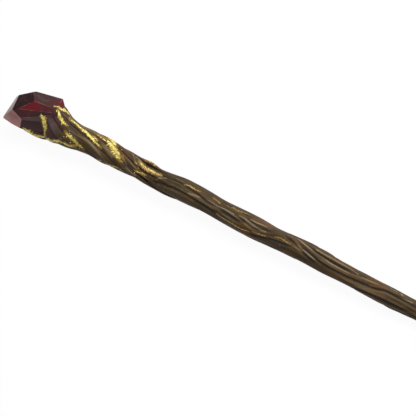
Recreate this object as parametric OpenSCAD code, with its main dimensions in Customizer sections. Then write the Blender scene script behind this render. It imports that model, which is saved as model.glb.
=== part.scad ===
// Toy magic wand: a faceted red stone gripped by twisted roots at the head of a carved shaft,
// with gold leaf along the roots. Millimetres.
// The wand is drawn along +X about its own axis, with X = 0 at the seat where the stone meets
// the shaft, and is then laid down on the table that it rests on.
// Turns are degrees about that axis: 0 is up, 90 is the front, 180 is the table side.

/* [Stone] */
// Width of the stone across its side facets
stone_width = 26; // [22:0.5:30]
// Length of the stone along its own axis, between its end facets
stone_length = 34; // [30:0.5:40]
// Lean of the stone's own axis away from the wand's axis, degrees
stone_lean = 28; // [20:1:32]
// Diameter of the stone's narrowed foot at the seat
stone_foot_d = 14; // [12:0.5:16]

/* [Shaft] */
// Length of the shaft from the seat to the tip
shaft_length = 338; // [280:1:400]
// Diameter of the flared head that carries the stone
head_d = 17; // [15:0.5:19]
// Length of the flare from the head down to the neck
head_length = 26; // [20:1:34]
// Diameter of the neck under the roots
neck_d = 9.4; // [8.6:0.2:11]
// Distance from the seat to the end of the neck
neck_length = 50; // [44:1:60]
// Diameter of the shaft where the roots run out
shaft_d = 13.4; // [12:0.2:15]
// Diameter just before the rounded tip
tip_d = 8.4; // [7:0.2:10]
// Length of the rounded tip
tip_round = 5; // [3:0.5:7]
// Height of the slow swells along the shaft
swell_height = 0.3; // [0:0.05:0.5]
// Distance from one swell to the next
swell_pitch = 47; // [35:1:60]
// Depth of the carved grain
grain_depth = 0.55; // [0.2:0.05:0.7]
// Distance over which the grain drifts once round its pattern
grain_pitch = 120; // [90:5:160]
// Crook of the neck behind the stone, towards the front
head_crook = 1.2; // [0:0.1:1.6]
// Crook of the neck in the middle of the twist, towards the front
neck_crook = 0.85; // [0:0.05:1.2]
// Sideways wander of the shaft's middle line
bend_height = 0.5; // [0:0.05:0.8]
// Depth of the strokes carved along the shaft
stroke_depth = 0.7; // [0.2:0.05:0.9]
// Half width of a carved stroke
stroke_width = 0.8; // [0.6:0.05:1.4]
// Distance over which a carved stroke fades out at its ends
stroke_fade = 9; // [5:0.5:12]

/* [Roots] */
// Length of the twist, from the seat to where the longest root runs out
twist_length = 88; // [80:1:100]
// Turn of the roots over the length of the twist, degrees
root_twist = 225; // [160:5:260]
// Thickness of a root in the twist
root_thickness = 2.9; // [2:0.1:3.6]
// Distance from the seat to where the roots start to thin
root_thinning = 32; // [24:1:42]
// Depth of the valley between two roots
root_valley = 1.4; // [0.8:0.1:1.8]
// Thickness of a root where it grips the stone
claw_thickness = 1.4; // [0.8:0.1:2]
// Distance over which the roots come down from the stone to the head
shoulder_length = 7; // [5:0.5:10]
// Gap between neighbouring roots
root_gap = 0.5; // [0.3:0.1:1]

/* [Core] */
// Diameter of the brass peg that pins the stone
peg_d = 4; // [3:0.1:4.4]
// Depth of the peg in the stone
peg_in_stone = 9; // [6:0.5:11]
// Depth of the peg in the shaft
peg_in_shaft = 12; // [8:0.5:16]
// Diameter of the steel rod that stiffens the shaft
rod_d = 3; // [2:0.1:3.6]
// Solid length left between the rod and the tip
tip_solid = 26; // [18:1:40]

/* [Gold leaf] */
// Thickness of the gold leaf
leaf_thickness = 0.2; // [0.1:0.05:0.3]

/* [Hidden] */
$fn = 48;

// Clearances: a glued pin in its hole and past its end, a root on what it wraps, leaf on its ground
pin_clearance = 0.05;
pin_end_clearance = 0.5;
seat_clearance = 0.7;
leaf_clearance = 0.05;
// Reach of a drilled hole past the face it starts from
overrun = 1;

// Facets of the stone: [turn, tilt towards the stone's end, reach as a share of half its size]
stone_side_shares = [
    [14, 0, 0.84], [-15, 14, 0.865], [-16, -10, 0.88], [32, 2, 0.84], [50, 0, 0.85], [70, 2, 0.84],
    [-85, 10, 0.71], [-85, -14, 0.74], [120, 24, 1.02], [142, 10, 1.1], [235, 0, 0.9]];
stone_end_shares = [[65, 31, 0.78], [-38, 53, 0.815], [-90, 55, 0.78], [113, 33, 0.87], [220, 50, 0.84]];
// Facets that narrow the stone to its foot: [turn, slope, reach as a share of half the foot]
stone_foot_shares = [[165, 30, 1], [215, 38, 1.05], [268, 47, 1.5], [335, 48, 1.6]];
// Place of the stone's centre from the seat, as shares of half its width: along, across, up
stone_centre_shares = [-1.24, 0.092, 0.17];
// Reach of the facet that the stone lies on, as a share of half its width
stone_rest_share = 0.955;

// Waves of the grain: [ridges round the shaft, drift, height share, phase, side sway]
grain_shares = [[3, 1, 0.4, 20, 50], [5, -1.5, 0.35, 110, 80], [7, 2, 0.25, 250, 110]];
// How far the sway of the grain repeats, as a share of its pitch
grain_sway_share = 0.62;
// Wander of the middle line: [pitch as a share of the shaft, height share across, height share up, phase]
bend_shares = [[0.26, 0.8, 0.3, 70], [0.47, 0.1, 0.45, 30]];
// How far along the twist the neck's crook reaches, as a share of it
neck_crook_share = 1.3;
flare_curve = 2.2;
taper_curve = 1.8;
tip_flat_share = 0.3;

// Strokes carved along the front of the shaft: each runs through points, given as a place along the
// shaft, as a share of its length, and a turn
front_stroke_shares = [
    [[0.13, 30], [0.17, 66], [0.2, 66], [0.22, 41], [0.25, 29], [0.3, 37], [0.35, 52]],
    [[0.17, 16], [0.2, 18], [0.22, -8], [0.255, -15], [0.315, 12], [0.345, 20]],
    [[0.205, 33], [0.22, 12], [0.25, 8]],
    [[0.25, -8], [0.29, -1], [0.32, 8]],
    [[0.365, 0], [0.395, 10], [0.415, 19], [0.445, 9]],
    [[0.33, 15], [0.355, 20], [0.375, 26], [0.4, 33]],
    [[0.38, -14], [0.425, 2], [0.46, -6]],
    [[0.395, 70], [0.43, 54], [0.455, 37], [0.5, 26]],
    [[0.455, -26], [0.49, -6], [0.52, 21]],
    [[0.48, -30], [0.515, -3], [0.54, 6]],
    [[0.505, -30], [0.545, -10], [0.615, -8]],
    [[0.485, 3], [0.52, 8], [0.545, 28], [0.575, 35], [0.62, 25], [0.665, -14]],
    [[0.49, 9], [0.515, 28], [0.55, 58]],
    [[0.605, 82], [0.645, 57], [0.68, 49], [0.74, 56]],
    [[0.61, 38], [0.655, 11], [0.68, -9], [0.74, 0], [0.795, 10]]];
// More strokes, spread over the rest of the shaft: how many, where they start and how long they run as
// shares of its length, and the turns that they keep to as far as the strokes above reach
wild_strokes = 44;
wild_place_shares = [0.19, 0.92];
wild_run_shares = [0.08, 0.23];
wild_turns = [96, 318];
wild_front_share = 0.66;
// How far such a stroke sways to the side, and how its drift and its bow change from one to the next
wild_sway = 20;
wild_drift_step = 61;
wild_bow_step = 97;
wild_cells = 3;
// Steps round a circle that never repeat, as a share of it
even_spread_share = 0.618;

// Roots: turn of each root's first edge, as if it wound evenly from the seat, and how fast that
// edge winds near the stone, as a share of the even twist
root_edge_turns = [8, 61, 114, 167, 220, 261, 304];
root_winding_shares = [1, 1.5, 1, 1, 1, 0.15, 0.15];
// Each root's reach over the stone, the slant and the arch of that grip, as shares of the stone's
// length, the width and the thickness of the grip as shares, and its run as a share of the twist.
// A root that reaches nothing of the stone butts against its foot
root_grip_shares = [0.18, 0.2, 0.48, 0.07, 0.2, 0, 0.14];
root_slant_shares = [0.06, -0.1, 0, 0, 0.02, 0, -0.06];
root_arch_shares = [0.02, 0.02, 0.04, 0.03, 0.13, 0, 0.02];
root_grip_width_shares = [1, 1, 0.45, 0.8, 1, 1, 0.9];
root_claw_shares = [1, 1, 1, 0.7, 0.8, 0, 0.8];
root_run_shares = [0.86, 0.88, 0.95, 0.93, 0.84, 1, 0.9];
// Knots on the roots: [root, place and half length as shares of the twist, height as a share of the thickness]
root_knot_shares = [[2, 0.735, 0.06, 0.4], [0, 0.42, 0.07, 0.22]];
root_brink_share = 0.45;
root_end_width_share = 0.3;
root_end_share = 0.22;
root_slowing_share = 0.35;
root_round = 0.6;
root_valley_limit_share = 0.65;

// Gold leaf on the roots: [root, from and to along its run, from and to across it]
claw_leaf_shares = [
    [0, 0, 0.12, 0.3, 1], [1, 0, 0.12, 0, 0.8], [2, 0, 0.25, 0, 0.5], [6, 0, 0.28, 0, 0.25],
    [6, 0.1, 0.28, 0.75, 1]];
root_leaf_shares = [
    [0, 0.34, 0.5, 0, 0.3], [6, 0.34, 0.56, 0, 0.25], [6, 0.6, 0.74, 0.5, 0.75], [5, 0.32, 0.52, 0, 0.4],
    [4, 0.8, 1, 0, 0.5], [3, 0.75, 0.85, 0, 0.3], [2, 0.79, 0.89, 0.25, 1]];
// Gold leaf on the shaft: [from and to along it past the twist, from and to round it]
shaft_leaf_shares = [
    [0.01, 0.05, 0.93, 1], [0.08, 0.18, 0.93, 1], [0.1, 0.24, 0.1, 0.17], [0.26, 0.31, 0.02, 0.08],
    [0.56, 0.6, 0.88, 0.94]];

// Counts: sides round the shaft, rings in its twist, along it and over its tip, cells of a root
shaft_sides = 48;
twist_rings = 22;
shaft_rings = 80;
tip_rings = 5;
grip_cells = 8;
run_cells = 20;
cross_cells = 12;

wood = [0.27, 0.22, 0.16];
gold = [0.8, 0.66, 0.24];

function mix(p, q, t) = p + (q - p)*t;
function ease(lo, hi, x) = let (t = min(1, max(0, (x - lo)/(hi - lo)))) t*t*(3 - 2*t);
function dir(turn) = [0, -sin(turn), cos(turn)];
function total(list, i = 0) = i < len(list) - 1 ? list[i] + total(list, i + 1) : list[i];

// Planes of the stone as [outward normal, distance from the seat's centre]
stone_centre = stone_centre_shares*stone_width/2;
function facet_normal(turn, tilt) = [-sin(tilt), 0, 0] + cos(tilt)*dir(turn);
function leaned(n) = [
    n.x*cos(stone_lean) - n.y*sin(stone_lean), n.x*sin(stone_lean) + n.y*cos(stone_lean), n.z];
function body_planes(shares, size) = [
    for (f = shares) let (n = leaned(facet_normal(f[0], f[1]))) [n, f[2]*size/2 + n*stone_centre]];
foot_planes = [for (f = stone_foot_shares) [facet_normal(f[0], -f[1]), f[2]*cos(f[1])*stone_foot_d/2]];
facet_planes = concat(body_planes(stone_side_shares, stone_width),
    body_planes(stone_end_shares, stone_length), foot_planes);

// The shaft's surface: radius without grain, grain, middle line, and a point of it
function taper_at(a) = max(0, (a - twist_length)/(shaft_length - twist_length));
function flare_at(a) = pow(max(0, 1 - a/head_length), flare_curve);
function swell_at(a) = swell_height*(1 - taper_at(a))*cos(360*(a - twist_length)/swell_pitch);
function body_r(a) = mix(shaft_d, tip_d, pow(taper_at(a), taper_curve))/2 + swell_at(a);
function neck_r(a) = mix(neck_d, head_d, flare_at(a))/2;
function rounding(a) = let (t = max(0, (a - shaft_length + tip_round)/tip_round))
    sqrt(1 - t*t*(1 - tip_flat_share*tip_flat_share));
function plain_r(a) = mix(neck_r(a), body_r(a), ease(neck_length, twist_length, a))*rounding(a);
function wave(w, a, turn) = w[2]*sin(w[0]*turn + w[3] + 360*w[1]*a/grain_pitch
    + w[4]*sin(360*a/(grain_pitch*grain_sway_share)));
function grain(a, turn) = grain_depth*ease(neck_length, twist_length, a)*rounding(a)
    *total([for (w = grain_shares) wave(w, a, turn)]);
function shaft_r(a, turn) = plain_r(a) + grain(a, turn);
function crook_between(lo, hi, a) = a > lo && a < hi ? pow(sin(180*(a - lo)/(hi - lo)), 2) : 0;
function middle(a) = let (
    crook = head_crook*crook_between(0, head_length, a)
        + neck_crook*crook_between(head_length, neck_crook_share*twist_length, a),
    on = bend_height*ease(neck_length, twist_length, a),
    sway = total([for (b = bend_shares) on*sin(360*a/(b[0]*shaft_length) + b[3])*[b[1], b[2]]]))
    [a, sway[0] - crook, sway[1]];

// The carved strokes: a smooth curve through a stroke's points, and the strokes that cross a ring
function part_of(x) = x - floor(x);
function wild_points(i) = let (
    share = mix(wild_place_shares[0], wild_place_shares[1], i/(wild_strokes - 1)),
    spread = part_of(i*even_spread_share),
    turn = share < wild_front_share ? mix(wild_turns[0], wild_turns[1], spread) : 360*spread,
    run = mix(wild_run_shares[0], wild_run_shares[1], part_of(i*even_spread_share*even_spread_share)))
    [for (j = [0:wild_cells]) let (t = j/wild_cells)
        [share + run*t, turn + wild_sway*(sin(wild_drift_step*i)*t + sin(wild_bow_step*i)*sin(180*t))]];
stroke_shares = concat(front_stroke_shares, [for (i = [0:wild_strokes - 1]) wild_points(i)]);
strokes = [for (shares = stroke_shares) [for (p = shares) [p[0]*shaft_length, p[1]]]];
function slope_at(p, i) = let (lo = p[max(0, i - 1)], hi = p[min(len(p) - 1, i + 1)])
    (hi[1] - lo[1])/(hi[0] - lo[0]);
function curve_through(p, x) = let (
    i = max(0, min(len(p) - 2, len([for (q = p) if (q[0] <= x) q]) - 1)),
    h = p[i + 1][0] - p[i][0],
    t = min(1, max(0, (x - p[i][0])/h)),
    bow = (t - 1)*slope_at(p, i) + t*slope_at(p, i + 1))
    mix(p[i][1], p[i + 1][1], t*t*(3 - 2*t)) + t*(t - 1)*h*bow;
function marks_at(a) = [for (p = strokes) let (
    start = p[0][0],
    end = p[len(p) - 1][0],
    fade = ease(start, start + stroke_fade, a)*ease(end, end - stroke_fade, a)) if (fade > 0)
        [curve_through(p, a), fade]];
function turn_between(p, q) = 360*(part_of((p - q)/360 + 0.5) - 0.5);
function cut_at(marks, a, turn) = max([0, for (m = marks)
    m[1]*exp(-pow(turn_between(turn, m[0])*PI/180*plain_r(a)/stroke_width, 2))]);
function carved_ring(a) = let (
    marks = marks_at(a),
    shown = stroke_depth*ease(neck_length, twist_length, a)*rounding(a))
    [for (i = [0:shaft_sides - 1]) let (turn = i*side_turn)
        middle(a) + (shaft_r(a, turn) - shown*cut_at(marks, a, turn))*dir(turn)];

round_start = shaft_length - tip_round;
ring_places = concat(
    [for (i = [0:twist_rings]) twist_length*i/twist_rings],
    [for (i = [1:shaft_rings]) mix(twist_length, round_start, i/shaft_rings)],
    [for (i = [1:tip_rings]) round_start + tip_round*sin(90*i/tip_rings)]);
side_turn = 360/shaft_sides;
rings = [for (a = ring_places) carved_ring(a)];

// How the wand lies: on the stone's resting facet and on the lowest point of the shaft
rest_reach = stone_rest_share*stone_width/2;
rest_point = [stone_centre.x, 0, -rest_reach];
lie = min([for (ring = rings, p = ring) if (p.x > twist_length)
    atan((p.z + rest_reach)/(p.x - stone_centre.x))]);
rest_normal = [sin(lie), 0, -cos(lie)];
stone_planes = concat(facet_planes, [[rest_normal, rest_normal*rest_point]]);
module lay() {
    rotate([0, lie, 0]) translate(-rest_point) children();
}

// Distance from the axis to the stone's surface
function stone_r(a, turn) = min([for (p = stone_planes) let (k = p[0]*dir(turn)) if (k > 0)
    (p[1] - p[0].x*a)/k]);

// A root's surface, with v from -1 to 1 across it
shoulder_end = head_length/2;
function root_start(k, v) =
    -stone_length*(root_grip_shares[k] + v*root_slant_shares[k] - v*v*root_arch_shares[k]);
function root_end(k) = twist_length*root_run_shares[k];
function root_place(k, j, v) = root_grip_shares[k] == 0
    ? mix(seat_clearance, root_end(k), j/(grip_cells + run_cells))
    : j < grip_cells ? root_start(k, v)*(1 - j/grip_cells) : root_end(k)*(j - grip_cells)/run_cells;
function root_width(k, a) = mix(root_grip_width_shares[k], 1, ease(root_start(k, 0), 0, a))
    *mix(1, root_end_width_share, ease(neck_length, root_end(k), a));
function twisted(a) = let (late = max(0, a - neck_length))
    (a - root_slowing_share*late*late/(twist_length - neck_length))*root_twist/twist_length;
function edge_turn(k, a) = let (
    wound = a < shoulder_end
        ? twisted(shoulder_end) + (a - shoulder_end)*root_winding_shares[k]*root_twist/twist_length
        : twisted(a))
    root_edge_turns[k] + wound;
function next_turn(k, a) = k + 1 < len(root_edge_turns) ? edge_turn(k + 1, a) : edge_turn(0, a) + 360;
function root_turn(k, a, v) = let (
    lo = edge_turn(k, a),
    hi = next_turn(k, a),
    gap = root_gap/2/plain_r(max(0, a))*180/PI)
    (lo + hi)/2 + v*((hi - lo)/2*root_width(k, a) - gap);
function root_under(a, turn) = seat_clearance
    + (a < 0 ? stone_r(a, turn) : a == 0 ? max(stone_r(0, turn), shaft_r(0, turn)) : shaft_r(a, turn));
function root_fade(k, a) = mix(1, root_end_share, ease(root_thinning, root_end(k), a));
function root_knot(k, a) = root_thickness*total([0, for (n = root_knot_shares) if (n[0] == k)
    n[3]*exp(-pow((a/twist_length - n[1])/n[2], 2))]);
function root_ridge(k, a, turn) = let (
    brink = mix(root_brink_share, 1, ease(root_start(k, 0), root_start(k, 0)/2, a)),
    claw = stone_r(min(a, 0), turn) + claw_thickness*root_claw_shares[k]*brink,
    head = plain_r(0) + root_thickness,
    full = max(claw, head),
    crown = shaft_r(a, turn) + root_thickness*root_fade(k, a) + root_knot(k, a),
    seat_side = mix(claw, full, ease(root_start(k, 0), 0, a)),
    shaft_side = mix(full, crown, ease(0, shoulder_length, a)))
    a < 0 ? seat_side : shaft_side;
function root_over(k, a, turn, v) = let (
    under = root_under(a, turn),
    ridge = max(root_ridge(k, a, turn), under + claw_thickness*root_end_share),
    valley = min(root_valley, root_valley_limit_share*(ridge - under)))
    ridge - valley*(1 - pow(max(0, 1 - v*v), root_round));
function root_spot(k, j, i) = let (v = 2*i/cross_cells - 1, a = root_place(k, j, v))
    [a, root_turn(k, a, v), v];
function wand_point(a, r, turn) = let (m = middle(max(0, a))) [a, m.y, m.z] + r*dir(turn);
function root_top(k, lift, rows, cells) = [for (j = rows) [for (i = cells)
    let (p = root_spot(k, j, i)) wand_point(p[0], root_over(k, p[0], p[1], p[2]) + lift, p[1])]];
function root_bed(k, rows, cells) = [for (j = rows) [for (i = cells)
    let (p = root_spot(k, j, i)) wand_point(p[0], root_under(p[0], p[1]), p[1])]];

// A closed solid between an outer and an inner grid of points with the same rows
module slab(outer, inner) {
    rows = len(outer);
    cols = len(outer[0]);
    end = rows - 1;
    rim = cols - 1;
    function o(j, i) = j*cols + i;
    function n(j, i) = rows*cols + o(j, i);
    function quad(p, q, r, s) = [[p, q, r], [p, r, s]];
    faces = [
        for (j = [0:end - 1], i = [0:rim - 1]) each concat(
            quad(o(j, i), o(j + 1, i), o(j + 1, i + 1), o(j, i + 1)),
            quad(n(j, i), n(j, i + 1), n(j + 1, i + 1), n(j + 1, i))),
        for (j = [0:end - 1]) each concat(
            quad(o(j + 1, 0), o(j, 0), n(j, 0), n(j + 1, 0)),
            quad(o(j, rim), o(j + 1, rim), n(j + 1, rim), n(j, rim))),
        for (i = [0:rim - 1]) each concat(
            quad(o(0, i), o(0, i + 1), n(0, i + 1), n(0, i)),
            quad(o(end, i + 1), o(end, i), n(end, i), n(end, i + 1)))];
    polyhedron(points = concat([for (row = outer) each row], [for (row = inner) each row]), faces = faces);
}

module half_space(plane) {
    n = plane[0];
    size = 3*(stone_length + stone_width);
    rotate([0, acos(n.z), atan2(n.y, n.x)])
        translate([-size/2, -size/2, plane[1] - size]) cube(size);
}

module stone() {
    color([0.35, 0.05, 0.08]) lay() difference() {
        intersection_for (p = concat(stone_planes, [[[1, 0, 0], 0]])) half_space(p);
        translate([-peg_in_stone - pin_end_clearance, 0, 0]) rotate([0, 90, 0])
            cylinder(h = peg_in_stone + pin_end_clearance + overrun, d = peg_d + 2*pin_clearance);
    }
}

module stone_peg() {
    color([0.72, 0.56, 0.25]) lay() translate([-peg_in_stone, 0, 0]) rotate([0, 90, 0])
        cylinder(h = peg_in_stone + peg_in_shaft, d = peg_d);
}

rod_start = peg_in_shaft + pin_end_clearance;
rod_end = shaft_length - tip_solid;
module core_rod() {
    color([0.6, 0.6, 0.62]) lay() translate([rod_start, 0, 0]) rotate([0, 90, 0])
        cylinder(h = rod_end - rod_start, d = rod_d);
}

module carved_shaft() {
    rows = len(ring_places);
    function at(j, i) = j*shaft_sides + i % shaft_sides;
    polyhedron(
        points = [for (ring = rings) each ring],
        faces = [
            [for (i = [0:shaft_sides - 1]) at(0, i)],
            [for (i = [0:shaft_sides - 1]) at(rows - 1, shaft_sides - 1 - i)],
            for (j = [0:rows - 2], i = [0:shaft_sides - 1]) each
                [[at(j, i), at(j + 1, i), at(j + 1, i + 1)], [at(j, i), at(j + 1, i + 1), at(j, i + 1)]]]);
}

module shaft() {
    color(wood) lay() difference() {
        carved_shaft();
        translate([-overrun, 0, 0]) rotate([0, 90, 0])
            cylinder(h = rod_start + overrun, d = peg_d + 2*pin_clearance);
        translate([-overrun, 0, 0]) rotate([0, 90, 0])
            cylinder(h = rod_end + pin_end_clearance + overrun, d = rod_d + 2*pin_clearance);
    }
}

module root(k) {
    rows = [0:grip_cells + run_cells];
    cells = [0:cross_cells];
    color(wood) lay() slab(root_top(k, 0, rows, cells), root_bed(k, rows, cells));
}

// Leaf on a root covers whole cells of the root's own grid
module root_leaf(shares) {
    count = grip_cells + run_cells;
    rows = [round(shares[1]*count):round(shares[2]*count)];
    cells = [round(shares[3]*cross_cells):round(shares[4]*cross_cells)];
    slab(root_top(shares[0], leaf_clearance + leaf_thickness, rows, cells),
        root_top(shares[0], leaf_clearance, rows, cells));
}

module gold_leaf_claws() {
    color(gold) lay() for (shares = claw_leaf_shares) root_leaf(shares);
}

module gold_leaf_roots() {
    color(gold) lay() for (shares = root_leaf_shares) root_leaf(shares);
}

// Leaf on the shaft covers whole cells between the shaft's own rings and sides
module gold_leaf_shaft() {
    function place(share) = mix(twist_length, shaft_length, share);
    function ring_at(share) = len([for (a = ring_places) if (a <= place(share)) a]) - 1;
    function patch(s, lift) = [for (j = [ring_at(s[0]):ring_at(s[1])])
        [for (i = [round(s[2]*shaft_sides):round(s[3]*shaft_sides)])
            rings[j][i % shaft_sides] + lift*dir(i*side_turn)]];
    color(gold) lay() for (s = shaft_leaf_shares)
        slab(patch(s, leaf_clearance + leaf_thickness), patch(s, leaf_clearance));
}

stone();
stone_peg();
core_rod();
shaft();
root(0);  // root_1
root(1);  // root_2
root(2);  // root_3
root(3);  // root_4
root(4);  // root_5
root(5);  // root_6
root(6);  // root_7
gold_leaf_claws();
gold_leaf_roots();
gold_leaf_shaft();
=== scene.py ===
from math import cos, radians, sin

import bmesh
import bpy
import numpy as np
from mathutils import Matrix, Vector


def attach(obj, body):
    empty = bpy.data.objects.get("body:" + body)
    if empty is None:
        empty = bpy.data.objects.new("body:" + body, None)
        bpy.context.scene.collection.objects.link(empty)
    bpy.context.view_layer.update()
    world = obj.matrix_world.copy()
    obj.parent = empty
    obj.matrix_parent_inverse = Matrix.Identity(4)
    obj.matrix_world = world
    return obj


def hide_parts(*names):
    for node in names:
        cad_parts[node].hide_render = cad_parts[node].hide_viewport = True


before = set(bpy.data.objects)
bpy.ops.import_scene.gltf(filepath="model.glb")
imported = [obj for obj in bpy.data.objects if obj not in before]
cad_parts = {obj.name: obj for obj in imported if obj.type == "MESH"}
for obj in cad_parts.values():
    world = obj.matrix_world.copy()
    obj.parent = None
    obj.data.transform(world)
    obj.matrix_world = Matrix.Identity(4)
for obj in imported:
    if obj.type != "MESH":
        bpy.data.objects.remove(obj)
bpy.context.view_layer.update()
mm = 0.001  # surfaces are worked out in millimetres about the wand's own axis, meshes are in metres
unrollReach = 8  # distance from the axis at which a turn is unrolled to millimetres round
noiseCells = 128  # the smooth noise repeats after this many cells
print("frame loaded:", len(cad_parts), "nodes")


class Settings(dict):
    # values that a user would change, read as shaft.length
    __getattr__ = dict.__getitem__


# Numbers and curves

def ease(low, high, x):  # 0 at low, 1 at high, an S curve between
    t = np.clip((x - low) / (high - low), 0, 1)
    return t * t * (3 - 2 * t)


def mix(p, q, t):  # p at 0, q at 1
    return p + (q - p) * t


def bell(x):  # 1 at 0, falling away on both sides
    return np.exp(-(x**2))


def sinDeg(x):
    return np.sin(np.radians(x))


def cosDeg(x):
    return np.cos(np.radians(x))


def turnBetween(turn, other):  # signed turn from other to turn, -180 to 180
    return (turn - other + 180) % 360 - 180


def toAround(turn):  # a turn unrolled to millimetres round the axis
    return np.radians(turn) * unrollReach


def toTurn(around):
    return np.degrees(around / unrollReach)


def fromScreen(red, green, blue):  # a screen colour, 0 to 255, as the shader's linear colour
    c = np.array([red, green, blue]) / 255
    return (*np.where(c <= 0.04045, c / 12.92, ((c + 0.055) / 1.055) ** 2.4), 1)


def ripple(u, v, seed, wrap=noiseCells):
    # smooth noise from -1 to 1: random values on a grid of whole u and v, eased between them
    table = np.random.default_rng(seed).uniform(-1, 1, (noiseCells, noiseCells))
    column, row = np.floor(u).astype(int), np.floor(v).astype(int)
    s, t = ease(0, 1, u - column), ease(0, 1, v - row)
    left, right = column % wrap, (column + 1) % wrap
    low, high = row % noiseCells, (row + 1) % noiseCells
    return mix(mix(table[left, low], table[right, low], s), mix(table[left, high], table[right, high], s), t)


def weave(u, v, width, length, seed, shift=0, wrap=noiseCells):  # noise in cells of that width and length
    return ripple(u / width + shift, v / length, seed, wrap)


def weaveRound(turn, v, width, length, seed):  # the same closed round the wand, the width being a turn
    return weave(turn, v, width, length, seed, wrap=360 // width)


def curveThrough(points, x):
    # a smooth curve y(x) through a few points, cubic between them with slopes from their neighbours
    px, py = np.array(points, float).T
    last = len(px) - 1
    order = np.arange(last + 1)
    before, after = np.maximum(order - 1, 0), np.minimum(order + 1, last)
    slope = (py[after] - py[before]) / (px[after] - px[before])
    i = np.clip(np.searchsorted(px, x) - 1, 0, last - 1)
    h = px[i + 1] - px[i]
    t = np.clip((x - px[i]) / h, 0, 1)
    return mix(py[i], py[i + 1], ease(0, 1, t)) + t * (t - 1) * h * ((t - 1) * slope[i] + t * slope[i + 1])


# The wand's own axis, read from the rod, and the seat where the stone meets the shaft

def meshPoints(mesh):  # every vertex, in millimetres
    flat = np.empty(3 * len(mesh.vertices), np.float32)
    mesh.vertices.foreach_get("co", flat)
    return flat.reshape(-1, 3).astype(float) / mm


def cornersOf(name, digits=4):  # a node's separate points
    return np.unique(np.round(meshPoints(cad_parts[name].data), digits), axis=0)


rodPoints = cornersOf("core_rod")
rodMiddle = rodPoints.mean(0)
alongDir = np.linalg.svd(rodPoints - rodMiddle)[2][0]
alongDir *= np.sign(alongDir[0])
upDir = np.array([0, 0, 1]) - alongDir[2] * alongDir
upDir /= np.linalg.norm(upDir)
frontDir = np.cross(alongDir, upDir)
stonePoints = cornersOf("stone")
seat = rodMiddle + ((stonePoints - rodMiddle) @ alongDir).max() * alongDir
print("seat at", np.round(seat, 2), "axis", np.round(alongDir, 4))


# Meshes

def closedLoft(rows):
    # quads between rows of points that each go once round, and one face over each end
    count, around = rows.shape[:2]
    j, i = np.mgrid[0:count - 1, 0:around]
    beside = (i + 1) % around
    quads = np.stack([j * around + i, j * around + beside,
                      (j + 1) * around + beside, (j + 1) * around + i], -1).reshape(-1, 4)
    points = rows.reshape(-1, 3)
    p, q, r, s = (points[quads[:, c]] - points.mean(0) for c in range(4))
    first, last = np.arange(around)[::-1], np.arange(around)
    if np.einsum("ij,ij->", p, np.cross(q, r) + np.cross(r, s)) < 0:  # inside out: turn every face round
        quads = quads[:, ::-1]
        first, last = last, first
    return points, quads, [first, last + (count - 1) * around]


def newObject(name, data):
    made = bpy.data.objects.new(name, data)
    bpy.context.scene.collection.objects.link(made)
    return made


def addPiece(name, lofts, attributes, replaced, sharpTurn=50):
    # one mesh of one or more closed lofts, with point attributes, riding on the part
    start, points, faces = 0, [], []
    for loft in lofts:
        loftPoints, quads, ends = closedLoft(loft)
        faces += (quads + start).tolist() + [(end + start).tolist() for end in ends]
        points.append(loftPoints)
        start += len(loftPoints)
    mesh = bpy.data.meshes.new(name)
    mesh.from_pydata(np.concatenate(points), [], faces)
    mesh.shade_smooth()
    mesh.set_sharp_from_angle(angle=radians(sharpTurn))
    for key, values in attributes.items():
        vector = np.ndim(values) > 1
        layer = mesh.attributes.new(key, "FLOAT_VECTOR" if vector else "FLOAT", "POINT")
        layer.data.foreach_set("vector" if vector else "value", np.ravel(values).astype(np.float32))
    return dressPiece(newObject(name, mesh), replaced)


def dressPiece(piece, replaced):
    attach(piece, "root")
    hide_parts(replaced)
    print(piece.name, "has", len(piece.data.polygons), "faces")
    return piece


# Stone: the cut facets with softened edges

stoneCut = Settings(
    edgeWidth=0.28 * mm,  # width of the softened edges
    edgeSteps=2,
    edgeTurn=12,  # facets that meet at less than this stay sharp, degrees
    weld=0.001 * mm, flatTurn=1,  # points this close, and triangles this level, are joined
    planeSlack=0.01, planeDigits=2,  # how closely triangles have to share a facet's plane
    footFacing=0.99,  # a facet that faces along the axis more than this is the flat foot
    leastFacing=1e-6,  # facets that face outwards less than this are never met
    # facets that face along, to the front and up like this: their screen colour, which holds painted
    # reflection and painted shade for the way the facet faces, and its share of the painted inner glow
    tones=[((-0.33, -0.11, 0.94), (36, 13, 13), 0.05), ((0.03, -0.32, 0.95), (64, 47, 46), 0.8),
           ((0.11, 0.21, 0.97), (74, 30, 34), 1.0), ((0.22, 0.48, 0.85), (54, 34, 35), 0.4),
           ((0.36, 0.68, 0.64), (86, 68, 68), 0.05), ((0.41, 0.85, 0.34), (62, 22, 24), 0.05),
           ((-0.09, 0.93, 0.36), (200, 142, 138), 0.1), ((-0.88, 0.05, 0.47), (158, 140, 136), 0.0),
           ((0.74, -0.28, 0.61), (92, 40, 40), 1.0)],
    likeness=0.985,  # how nearly a facet has to face that way
    # the tones of all other facets, and the steps in which they take turns
    otherTones=[((52, 32, 34), 0.2), ((78, 40, 44), 0.6), ((66, 50, 52), 0.3)],
    otherSteps=7,
)


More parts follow.
